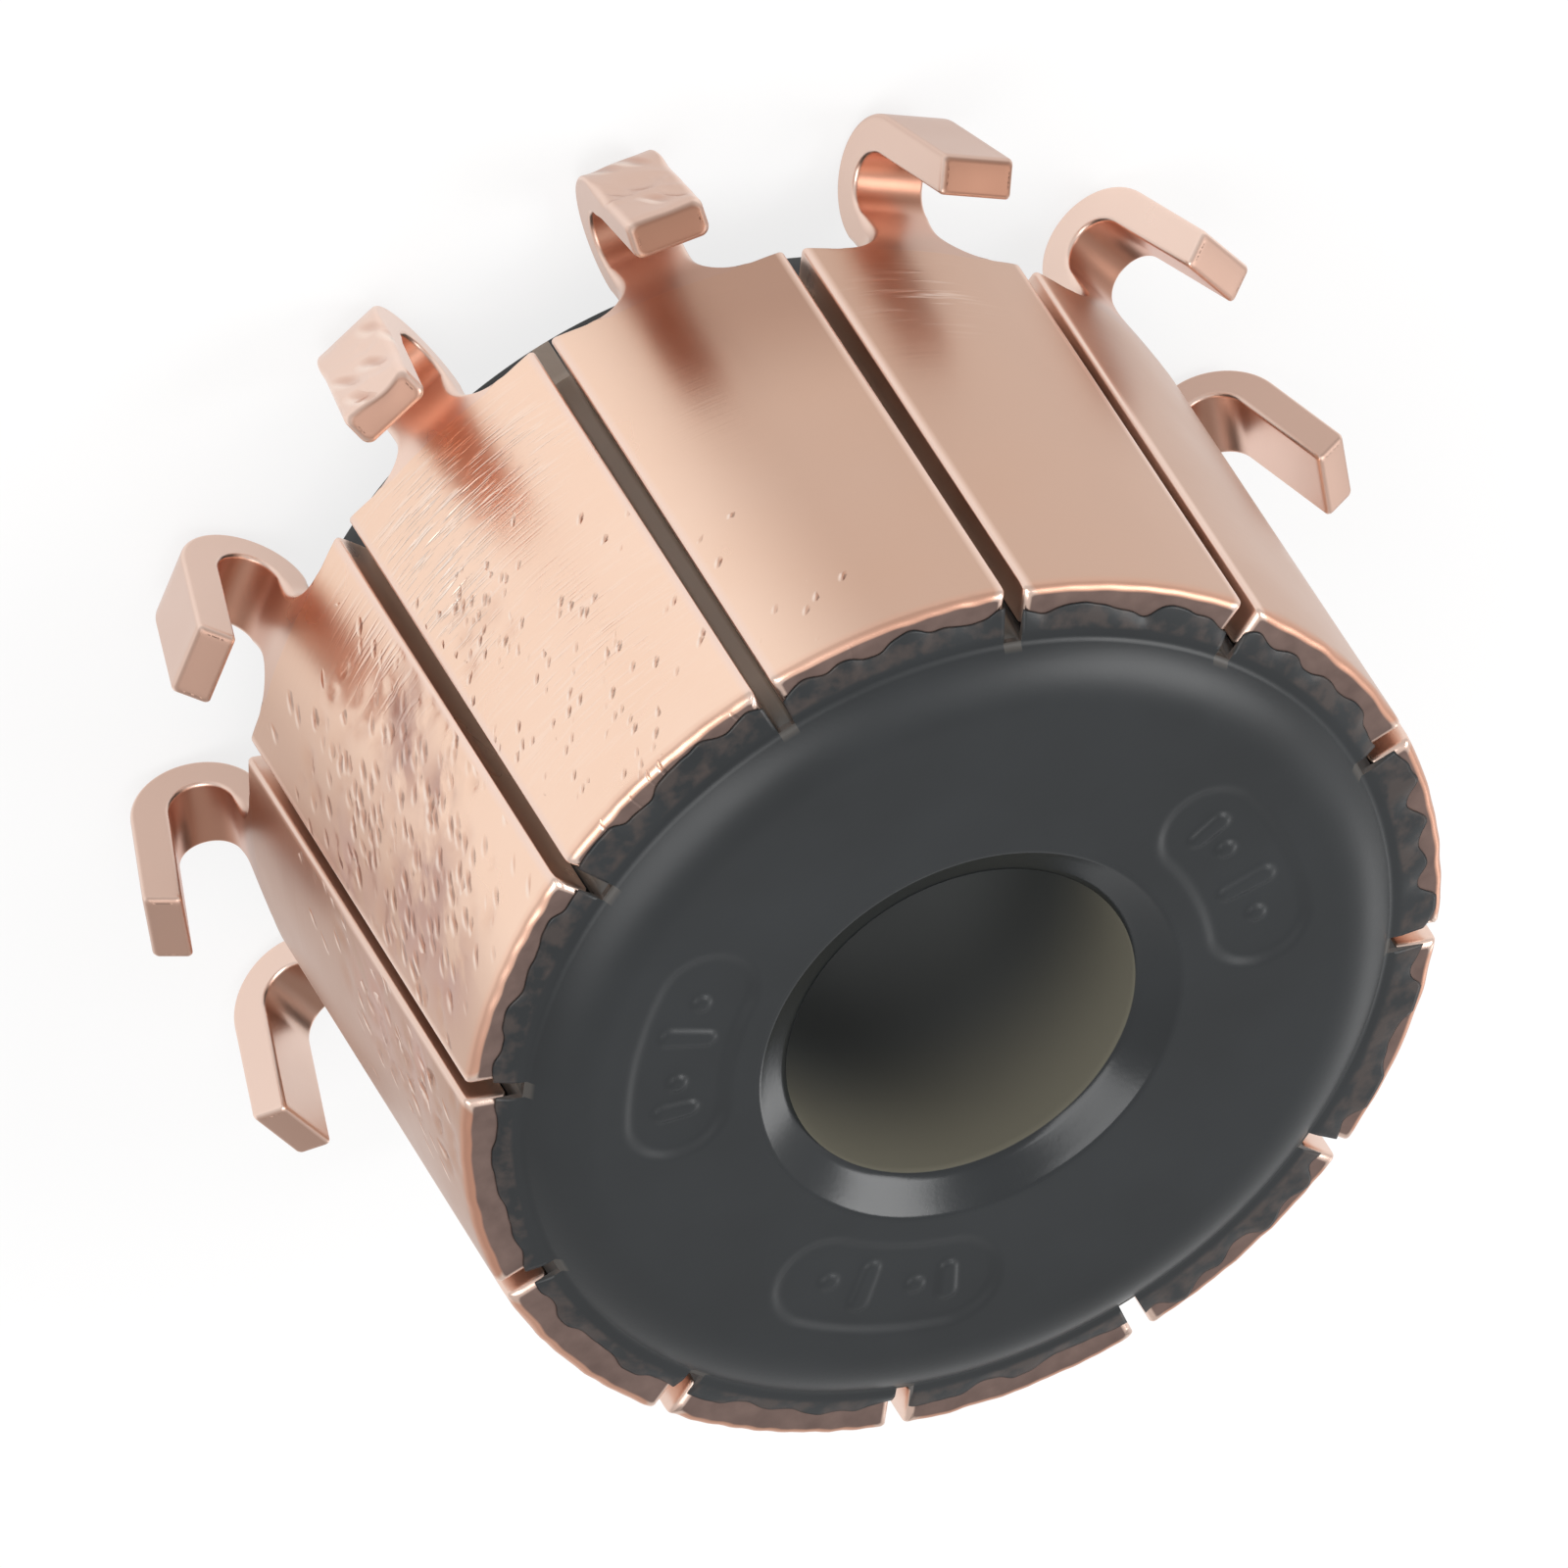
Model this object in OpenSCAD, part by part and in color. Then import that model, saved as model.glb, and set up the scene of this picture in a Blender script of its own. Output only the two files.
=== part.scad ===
// Hook commutator: copper bars with wire hooks, held by a phenolic moulding on a shaft bore.
// The shaft runs along Z. The rear collar stands on Z = 0 and the marked front face looks up.

/* [Brush track] */
// Outside diameter of the copper bars
track_d = 22.5; // [21:0.1:30]
// Length of the bars along the shaft
bar_len = 12.35; // [10:0.05:20]
// Thickness of the bars' copper wall
bar_t = 1; // [0.9:0.05:1.4]
// Number of bars
bar_count = 12; // [8:1:15]
// Width of the slots sawn between the bars
slot_w = 0.42; // [0.3:0.02:0.8]
// Depth of the saw cut in the moulding below the copper
slot_undercut = 0.25; // [0.1:0.05:0.4]

/* [Wire hooks] */
// Width of the hook strip
hook_w = 1.75; // [1.2:0.05:2.2]
// Thickness of the strip at the neck, where the bend has drawn it thin
hook_neck_t = 0.7; // [0.5:0.05:0.9]
// Thickness of the strip along the leg
hook_leg_t = 0.85; // [0.6:0.05:1]
// Straight neck between the bar and the bend
hook_neck = 1; // [0.8:0.05:2]
// Inside radius of the bend, for the winding wire
hook_bend_r = 0.7; // [0.4:0.05:1]
// Angle at which the leg leans outwards from the shaft's direction
hook_lean = 16; // [5:1:40]
// Length of the leg in front of the bend
hook_leg = 2.65; // [2:0.05:4]
// Radius of the fillets where the neck leaves the bar
hook_root_r = 0.8; // [0.3:0.05:0.9]
// Depth to which these fillets cut into the rear end of the bar
hook_relief = 0.2; // [0.05:0.01:0.25]
// Depth of the flat strip's edges below the round brush track
hook_sink = 0.02; // [0.01:0.01:0.1]
// Radius of the leg's tip edges
hook_tip_r = 0.18; // [0.05:0.01:0.25]

/* [Bar anchors] */
// Width of the dovetail rib where it meets the copper wall
anchor_neck_w = 1.4; // [1:0.1:2]
// Width of the dovetail rib at its foot
anchor_foot_w = 2.2; // [2:0.1:3]
// Depth of the rib below the copper wall
anchor_depth = 1.6; // [1:0.1:2]
// Length of moulding that covers each end of the rib
anchor_cover = 1.6; // [1:0.1:3]

/* [Moulding] */
// Diameter of the shaft bore
bore_d = 8; // [6:0.1:9]
// Width of the flare at the front mouth of the bore
flare_w = 0.8; // [0.3:0.05:1]
// Depth of the flare at the front mouth of the bore
flare_depth = 0.5; // [0.3:0.05:1]
// Chamfer at the rear mouth of the bore and on the collar's edge
rear_chamfer = 0.3; // [0.1:0.05:0.5]
// Height of the front boss above the bars' ends
boss_h = 0.8; // [0.5:0.05:1.5]
// Width of the rounded shoulder round the front boss
shoulder_w = 1.45; // [1:0.05:1.8]
// Height of the ledge inside the bars' ends
ledge_h = 0.15; // [0.05:0.01:0.3]
// Width of the ledge inside the bars' ends
ledge_w = 0.3; // [0.3:0.05:0.6]
// Length of the step that stands behind the bars
rear_step_h = 1.4; // [0.8:0.05:1.6]
// Drop from the floor of the saw cuts to the side of this step
rear_step_drop = 0.1; // [0.05:0.01:0.3]
// Diameter of the rear collar
collar_d = 15; // [13:0.1:16]
// Height by which the rear collar stands proud of the hooks
collar_proud = 0.25; // [0.1:0.05:1]
// Radius of the fillet between the collar and the step
collar_root_r = 0.6; // [0.3:0.05:0.8]

/* [Mould pads] */
// Depth of the three sunk pads on the front face
pad_depth = 0.18; // [0.05:0.01:0.3]
// Gap between the pads and the bore's flare
pad_gap_in = 0.8; // [0.4:0.05:1]
// Gap between the pads and the rounded shoulder
pad_gap_out = 0.7; // [0.4:0.05:1]
// Angle that each pad spans between its end centres
pad_span = 26; // [15:1:35]

/* [Hidden] */
$fn = 96;
// Length by which a cut runs past the face that it opens
past = 1;
// Length by which two shapes of one piece run into each other
lap = 0.4;

track_r = track_d / 2;
seat_r = track_r - bar_t;
pitch = 360 / bar_count;

bore_r = bore_d / 2;
flare_r = bore_r + flare_w;
collar_r = collar_d / 2;
slot_floor_r = seat_r - slot_undercut;
rear_step_r = slot_floor_r - rear_step_drop;

// The bend's outer arc lies off the centre of its inner arc, so the strip thickens from the neck to the leg
bend_shift = (hook_leg_t - hook_neck_t) / (1 + cos(hook_lean));
bend_outer_r = hook_bend_r + hook_neck_t + bend_shift;
collar_h = hook_neck + bend_outer_r + collar_proud;
rim_z = collar_h + bar_len;
top_z = rim_z + boss_h;
rear_step_z = collar_h - rear_step_h;

// The shoulder is an arc that leaves the flat face level and ends on the ledge
shoulder_r = seat_r - ledge_w;
flat_r = shoulder_r - shoulder_w;
shoulder_drop = boss_h - ledge_h;
shoulder_arc_r = (shoulder_w * shoulder_w + shoulder_drop * shoulder_drop) / (2 * shoulder_drop);

// Two slots' edges, half a slot off their centre lines, meet at this radius between the bars
bar_apex_r = slot_w / 2 / sin(pitch / 2);

// The fillets' centres lie beside the neck, and the neck's root is this wide where it meets the bar's end
root_drop = hook_root_r - hook_relief;
root_centre_y = hook_w / 2 + hook_root_r;
root_w = 2 * (root_centre_y - sqrt(hook_root_r * hook_root_r - root_drop * root_drop));

// The hook strip is flat, and its outer face stays inside the round brush track
hook_face_r = sqrt(track_r * track_r - root_w * root_w / 4) - hook_sink;
hook_centre_r = hook_face_r + hook_bend_r;
hook_centre_z = collar_h - hook_neck;

pad_in_r = flare_r + pad_gap_in;
pad_out_r = flat_r - pad_gap_out;
pad_mid_r = (pad_in_r + pad_out_r) / 2;
// Angles of the pads' middles, which are not evenly spaced
pad_angles = [65, 194, 339];

copper = [0.85, 0.63, 0.52];
phenolic = [0.25, 0.26, 0.27];

function bar_name(i) = str("bar_", i < 9 ? "0" : "", i + 1);

// Flat wedge with its point on the X axis, opening outwards by an angle
module wedge(point_r, angle) {
    reach = 2 * track_r;
    side = reach * tan(angle / 2);
    translate([point_r, 0])
        polygon([[0, 0], [reach, -side], [reach, side]]);
}

// Flat ring between two radii
module ring(inner_r, outer_r) {
    difference() {
        circle(r = outer_r);
        circle(r = inner_r);
    }
}

// Dovetail rib of one bar, which runs into the copper wall by a lap
module anchor() {
    foot_r = seat_r - anchor_depth;
    root_r = seat_r + lap;
    translate([0, 0, collar_h + anchor_cover])
        linear_extrude(bar_len - 2 * anchor_cover)
            polygon([
                [foot_r, -anchor_foot_w / 2],
                [seat_r, -anchor_neck_w / 2],
                [root_r, -anchor_neck_w / 2],
                [root_r, anchor_neck_w / 2],
                [seat_r, anchor_neck_w / 2],
                [foot_r, anchor_foot_w / 2]
            ]);
}

// Side view of the leg, square to its own length, from the end of the bend to its rounded tip
module leg_outline() {
    straight = hook_leg - hook_tip_r;
    polygon([
        [hook_bend_r, 0],
        [hook_bend_r + hook_leg_t, bend_shift * sin(hook_lean)],
        [hook_bend_r + hook_leg_t, straight],
        [hook_bend_r, straight]
    ]);
    translate([hook_bend_r + hook_tip_r, straight])
        square([hook_leg_t - 2 * hook_tip_r, hook_tip_r]);
    for (x = [hook_tip_r, hook_leg_t - hook_tip_r])
        translate([hook_bend_r + x, straight])
            circle(r = hook_tip_r);
}

// Side view of the bend about the centre of its inner arc, from the neck round to the leg
module bend_outline() {
    reach = 2 * bend_outer_r;
    end_x = hook_bend_r * cos(hook_lean);
    end_y = -hook_bend_r * sin(hook_lean);
    outer_x = bend_shift + bend_outer_r * cos(hook_lean);
    outer_y = -bend_outer_r * sin(hook_lean);
    difference() {
        translate([bend_shift, 0])
            circle(r = bend_outer_r);
        circle(r = hook_bend_r);
        polygon([
            [-reach, 0], [0, 0], [end_x, end_y], [outer_x, outer_y],
            [outer_x + reach, outer_y], [outer_x + reach, reach], [-reach, reach]
        ]);
    }
}

// Wire hook: the neck runs on from the bar, bends outwards and the leg comes back along the bar
module hook() {
    translate([hook_face_r - hook_neck_t, -hook_w / 2, hook_centre_z])
        cube([hook_neck_t, hook_w, hook_neck]);
    translate([hook_centre_r, hook_w / 2, hook_centre_z])
        rotate([90, 0, 0])
            linear_extrude(hook_w) {
                bend_outline();
                rotate(-hook_lean)
                    leg_outline();
            }
}

// Copper wall of one bar with the root of its hook, and the fillets that relieve the root on both sides
module bar_wall() {
    difference() {
        union() {
            translate([0, 0, collar_h])
                linear_extrude(bar_len)
                    intersection() {
                        ring(seat_r, track_r);
                        wedge(bar_apex_r, pitch);
                    }
            translate([hook_face_r - hook_neck_t, -root_w / 2, collar_h - root_drop])
                cube([hook_neck_t, root_w, root_drop + lap]);
        }
        for (side = [-1, 1])
            translate([seat_r - past, side * root_centre_y, collar_h - root_drop])
                rotate([0, 90, 0])
                    cylinder(r = hook_root_r, h = bar_t + 2 * past);
    }
}

// One copper bar in the place of the first, on the X axis
module bar_shape() {
    bar_wall();
    anchor();
    hook();
}

module bar(i) {
    color(copper)
        rotate([0, 0, i * pitch])
            bar_shape();
}

// Half section of the moulding
module body_outline() {
    difference() {
        union() {
            translate([bore_r, collar_h])
                square([seat_r - bore_r, bar_len + ledge_h]);
            translate([bore_r, rim_z])
                square([flat_r - bore_r, boss_h]);
            intersection() {
                translate([flat_r, top_z - shoulder_arc_r])
                    circle(r = shoulder_arc_r);
                translate([flat_r, rim_z])
                    square([shoulder_w, boss_h + past]);
            }
            translate([bore_r, rear_step_z])
                square([rear_step_r - bore_r, rear_step_h + lap]);
            translate([bore_r, 0])
                square([collar_r - bore_r, rear_step_z + lap]);
            translate([collar_r, rear_step_z - collar_root_r])
                difference() {
                    square(collar_root_r);
                    translate([collar_root_r, 0])
                        circle(r = collar_root_r);
                }
        }
        polygon([[bore_r, top_z - flare_depth], [flare_r, top_z], [bore_r, top_z]]);
        polygon([[bore_r, 0], [bore_r + rear_chamfer, 0], [bore_r, rear_chamfer]]);
        polygon([[collar_r - rear_chamfer, 0], [collar_r, 0], [collar_r, rear_chamfer]]);
    }
}

// Saw cut under one slot, in the place between the first bar and the next
module saw_cut() {
    rotate([0, 0, pitch / 2])
        translate([slot_floor_r, -slot_w / 2, collar_h - past])
            cube([bar_t + slot_undercut, slot_w, bar_len + ledge_h + 2 * past]);
}

// Outline of one sunk pad, a band round the shaft with round ends
module pad_outline() {
    intersection() {
        ring(pad_in_r, pad_out_r);
        wedge(0, pad_span);
    }
    for (side = [-1, 1])
        rotate(side * pad_span / 2)
            translate([pad_mid_r, 0])
                circle(d = pad_out_r - pad_in_r);
}

module body() {
    color(phenolic)
        difference() {
            rotate_extrude()
                body_outline();
            for (i = [0 : bar_count - 1])
                rotate([0, 0, i * pitch]) {
                    anchor();
                    saw_cut();
                }
            for (angle = pad_angles)
                rotate([0, 0, angle])
                    translate([0, 0, top_z - pad_depth])
                        linear_extrude(pad_depth + past)
                            pad_outline();
        }
}

body();
for (i = [0 : bar_count - 1])
    bar(i);
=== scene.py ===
"""Looks of a hook commutator: copper bars with bent wire hooks, held in a black phenolic moulding."""

import bpy
import numpy as np
from mathutils import Matrix, Vector


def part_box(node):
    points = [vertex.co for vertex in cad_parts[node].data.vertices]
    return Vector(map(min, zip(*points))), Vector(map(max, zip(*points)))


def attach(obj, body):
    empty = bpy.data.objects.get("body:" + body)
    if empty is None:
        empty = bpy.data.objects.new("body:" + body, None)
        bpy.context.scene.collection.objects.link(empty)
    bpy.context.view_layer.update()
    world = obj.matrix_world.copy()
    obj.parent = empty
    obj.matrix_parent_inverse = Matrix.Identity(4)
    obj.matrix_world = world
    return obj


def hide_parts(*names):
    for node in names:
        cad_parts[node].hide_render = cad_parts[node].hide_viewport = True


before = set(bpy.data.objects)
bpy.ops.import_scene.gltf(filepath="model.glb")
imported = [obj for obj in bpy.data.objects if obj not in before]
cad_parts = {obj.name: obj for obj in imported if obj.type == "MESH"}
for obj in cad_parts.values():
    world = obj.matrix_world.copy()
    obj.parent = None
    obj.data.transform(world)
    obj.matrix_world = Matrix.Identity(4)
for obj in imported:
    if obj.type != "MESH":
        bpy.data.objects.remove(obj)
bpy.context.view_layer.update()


# Copper bars
# Twelve bars of hard copper, blanked and rolled from strip, each with its wire hook bent up from the same
# metal. A dovetail rib inside the moulding holds each bar, and the brush track is turned after moulding.

# Sizes are in millimetres. The main ones are the solids' own, and the rounds and wear are only here.
MM = 0.001
BARS = 12
PITCH = 2 * np.pi / BARS
TRACK_R = 11.25
BAR_T = 1.0
SEAT_R = TRACK_R - BAR_T
BAR_LEN = 12.35
SLOT_W = 0.42
RIM_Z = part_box("bar_01")[1].z / MM
REAR_Z = RIM_Z - BAR_LEN

RIM_ROUND = 0.19
EDGE_ROUND = 0.09
RIB_COVER = 1.6
RIB_NECK_HALF = 0.7
RIB_FOOT_HALF = 1.1
RIB_DEPTH = 1.6
RIB_FOOT_R = SEAT_R - RIB_DEPTH

HOOK_HALF = 0.875
HOOK_NECK_T = 0.7
HOOK_LEG_T = 0.85
HOOK_NECK = 1.0
HOOK_BEND_R = 0.7
HOOK_LEAN = np.radians(16)
HOOK_LEG = 2.65
HOOK_ROOT_R = 0.8
HOOK_RELIEF = 0.2
HOOK_RAKE = 0.22
HOOK_SINK = 0.02
HOOK_EDGE_ROUND = 0.11
HOOK_TIP_ROUND = 0.14
HAMMERED_ROUND = 0.22
HAMMERED_EASE = 0.5
ROOT_ROLL = 0.14
ROOT_GAP = 0.12
ROOT_GAP_FADE = 0.3
DENT_LEAN = np.radians(35)
DENT_SIZE = 0.26
DENT_DEPTH = 0.08
DENTS_PER_MM2 = 5
LEG_DENT_SIZE = 0.4
LEG_DENT_GAIN = 1.5
ROOT_HALF = HOOK_HALF + HOOK_ROOT_R
ROOT_DROP = HOOK_ROOT_R - HOOK_RELIEF
ROOT_END_HALF = ROOT_HALF - np.sqrt(HOOK_ROOT_R ** 2 - ROOT_DROP ** 2)
HOOK_FACE_R = np.sqrt(TRACK_R ** 2 - ROOT_END_HALF ** 2) - HOOK_SINK
REAR_HALF = 2.6

# Steps round half of a section, from the middle of its outer face to the middle of its inner face.
# The two faces have equal numbers, so that a ladder of quads closes an end.
FACE_STEPS = 11
OUTER_STEPS = 13
CORNER_STEPS = 4
SIDE_STEPS = 3
INNER_STEPS = OUTER_STEPS
FOOT_STEPS = FACE_STEPS
RIB_SIDE_STEPS = 4
TRACK_STEPS = FACE_STEPS + OUTER_STEPS
HALF_STEPS = TRACK_STEPS + 2 * CORNER_STEPS + SIDE_STEPS + INNER_STEPS + FOOT_STEPS


def steps(count):
    """Even steps from just above 0 up to 1, without the 0."""
    return np.linspace(0, 1, count + 1)[1:]


def smooth(value):
    """0 below 0, 1 above 1, and an S-shaped rise between."""
    held = np.clip(value, 0, 1)
    return held * held * (3 - 2 * held)


def ripple(place, wavelength, seed):
    """Uneven wave along a line: the mean of six sines near one wavelength, brought to a swing of about 1.
    The lengths and phases of the sines come from the seed."""
    sines = 6
    gain = 1.6
    draw = np.random.default_rng(seed)
    lengths = wavelength * draw.uniform(0.5, 2.2, sines)
    phases = draw.uniform(0, 2 * np.pi, sines)
    return gain * np.sin(2 * np.pi * place[..., None] / lengths + phases).mean(axis=-1)


def dimples(across, along, patch, size, seed):
    """Depth of small dents scattered over a patch: the deepest of many Gaussian hollows, all drawn out one
    way. A patch gives its middle and half size both ways, and the share of dents that it has."""
    draw = np.random.default_rng(seed)
    middle, half, share = patch
    count = int(share * DENTS_PER_MM2 * 4 * half[0] * half[1])
    at = draw.normal(0, 0.55, (count, 2)).clip(-1, 1) * half + middle
    long = size * draw.uniform(0.6, 1.5, count)
    wide = long * draw.uniform(0.4, 0.75, count)
    deep = DENT_DEPTH * draw.uniform(0.3, 1.0, count)
    lean = DENT_LEAN + draw.normal(0, 0.25, count)
    off_across = across[..., None] - at[:, 0]
    off_along = along[..., None] - at[:, 1]
    lengthwise = off_across * np.sin(lean) - off_along * np.cos(lean)
    sideways = off_across * np.cos(lean) + off_along * np.sin(lean)
    return (deep * np.exp(-(lengthwise / long) ** 2 - (sideways / wide) ** 2)).max(axis=-1)


def bar_sections(z, inset, rib):
    """Half sections of the bar, one row for each height z.
    A section is a ring sector with round corners, drawn in by inset, and its inner face carries the rib."""
    half = TRACK_R * np.sin(PITCH / 2 - np.arcsin(SLOT_W / 2 / TRACK_R))
    inner_half = SEAT_R * np.sin(PITCH / 2 - np.arcsin(SLOT_W / 2 / SEAT_R))
    arc = steps(CORNER_STEPS) * np.pi / 2
    flat = half - EDGE_ROUND
    late = EDGE_ROUND * (1 - np.sin(arc))
    early = EDGE_ROUND * (1 - np.cos(arc))
    across = np.concatenate([
        np.linspace(0, ROOT_HALF, FACE_STEPS + 1), ROOT_HALF + steps(OUTER_STEPS) * (flat - ROOT_HALF),
        half - late, np.full(SIDE_STEPS, half), half - early,
        flat - steps(INNER_STEPS) * (flat - ROOT_HALF), ROOT_HALF * (1 - steps(FOOT_STEPS)),
    ])
    depth = np.concatenate([
        np.zeros(FACE_STEPS + 1 + OUTER_STEPS),
        early, EDGE_ROUND + steps(SIDE_STEPS) * (BAR_T - 2 * EDGE_ROUND), BAR_T - late,
        np.full(INNER_STEPS + FOOT_STEPS, BAR_T),
    ]) / BAR_T
    across = across - inset * smooth((across - ROOT_HALF) / (flat - ROOT_HALF))
    depth = depth + inset / BAR_T * (1 - 2 * depth)
    y = across * (1 - depth * (1 - inner_half / half))
    track_x = np.sqrt(TRACK_R ** 2 - y ** 2)
    seat_x = np.sqrt(SEAT_R ** 2 - y ** 2)
    x = track_x - depth * (track_x - seat_x)
    # The rib's half outline: down its slanted side, then in along its foot
    neck_x = np.sqrt(SEAT_R ** 2 - RIB_NECK_HALF ** 2)
    foot_steps = FOOT_STEPS - RIB_SIDE_STEPS
    rib_x = np.concatenate([np.linspace(neck_x, RIB_FOOT_R, RIB_SIDE_STEPS),
                            np.full(foot_steps, RIB_FOOT_R)])
    rib_y = np.concatenate([np.linspace(RIB_NECK_HALF, RIB_FOOT_HALF, RIB_SIDE_STEPS),
                            RIB_FOOT_HALF * (1 - steps(foot_steps))])
    x[:, -FOOT_STEPS:] += rib * (rib_x - x[:, -FOOT_STEPS:])
    y[:, -FOOT_STEPS:] += rib * (rib_y - y[:, -FOOT_STEPS:])
    return x, y, z + np.zeros_like(x)


def strip_sections(x, z, turn, half, thick, corner, bow, inset):
    """Half sections of the hook strip: a flat bar with round corners, carried along a path in the XZ plane.
    The path is the strip's upper face, turn is the bend so far, and bow curves the face as the track is
    curved. Also gives each point's depth below that face as a share of the thickness."""
    side_steps = 2 * CORNER_STEPS + SIDE_STEPS
    arc = steps(OUTER_STEPS) * np.pi / 2
    inner_arc = steps(INNER_STEPS) * np.pi / 2
    flat = half - corner
    across = np.concatenate([
        np.linspace(0, 1, FACE_STEPS + 1) * flat,
        half - corner * (1 - np.sin(arc)),
        half + np.zeros(side_steps),
        half - corner * (1 - np.cos(inner_arc)),
        flat * (1 - steps(FOOT_STEPS)),
    ], axis=1)
    depth = np.concatenate([
        np.zeros((len(half), FACE_STEPS + 1)),
        corner * (1 - np.cos(arc)),
        corner + steps(side_steps) * (thick - 2 * corner),
        thick - corner * (1 - np.sin(inner_arc)),
        thick + np.zeros(FOOT_STEPS),
    ], axis=1)
    across = across * (1 - inset / half)
    depth = depth + inset * (1 - 2 * depth / thick)
    rise = bow * (np.sqrt(TRACK_R ** 2 - across ** 2) - TRACK_R) - depth
    return x + rise * np.cos(turn), across, z + rise * np.sin(turn), depth / thick


def end_rounding(count, radius):
    """Inset and setback of the sections that round an end, from the end face to the full section."""
    angle = np.linspace(0, np.pi / 2, count + 1)
    return radius * (1 - np.sin(angle)), radius * (1 - np.cos(angle))


def root_lift(across):
    """Rise of the bar's rear end at a place across it: even at the hook's root, then straight down to the
    corners."""
    return HOOK_RELIEF * np.clip((REAR_HALF - np.abs(across)) / (REAR_HALF - ROOT_HALF), 0, 1)


def root_gap(across):
    """Rise of the last track section over the hook's first section, which leaves the sections between room.
    It is even over the hook's root, and fades out at its ends."""
    gap = ROOT_GAP * smooth((ROOT_HALF - np.abs(across)) / ROOT_GAP_FADE)
    gap[..., FACE_STEPS + 1:] = 0
    return gap


def bar_stretch():
    """Half sections of the bar proper, from its front end to its rear end.
    The rib starts and ends inside the moulding. Gives x, y and z."""
    rim_inset, rim_setback = end_rounding(6, RIM_ROUND)
    rear_inset, rear_setback = end_rounding(4, EDGE_ROUND)
    rib_top = RIM_Z - RIB_COVER
    rib_foot = REAR_Z + RIB_COVER
    rib_slope = 0.04
    before = np.linspace(RIM_Z - RIM_ROUND, rib_top, 14)[1:]
    ribbed = np.linspace(rib_top - rib_slope, rib_foot + rib_slope, 78)
    behind = np.linspace(rib_foot, REAR_Z + EDGE_ROUND, 14)[:-1]
    z = np.concatenate([RIM_Z - rim_setback, before, ribbed, behind, REAR_Z + rear_setback[::-1]])[:, None]
    inset = np.zeros((len(z), HALF_STEPS + 1))
    inset[:len(rim_inset)] = rim_inset[:, None]
    # The rounded rear edge fades out where the track runs on into the hook
    fade_steps = 5
    fade = np.ones(HALF_STEPS + 1)
    fade[:FACE_STEPS + fade_steps] = smooth(np.arange(-FACE_STEPS, fade_steps) / fade_steps)
    inset[-len(rear_inset):] = rear_inset[::-1, None] * fade
    rib = np.zeros((len(z), 1))
    ribbed_from = len(rim_inset) + len(before)
    rib[ribbed_from:ribbed_from + len(ribbed)] = 1
    x, y, z = bar_sections(z, inset, rib)
    z = z + (root_lift(y) + root_gap(y)) * smooth(1 - (z - REAR_Z) / RIB_COVER)
    return x, y, z


def rear_end(bar_x, bar_y, root_x, root_y):
    """Half sections over the bar's rear end, in even steps from its edge in to the hook's root."""
    share = np.linspace(0, 1, 7)[1:-1, None]
    x = bar_x + share * (root_x - bar_x)
    y = bar_y + share * (root_y - bar_y)
    return x, y, REAR_Z + root_lift(y) + (1 - share) * root_gap(y)


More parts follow.
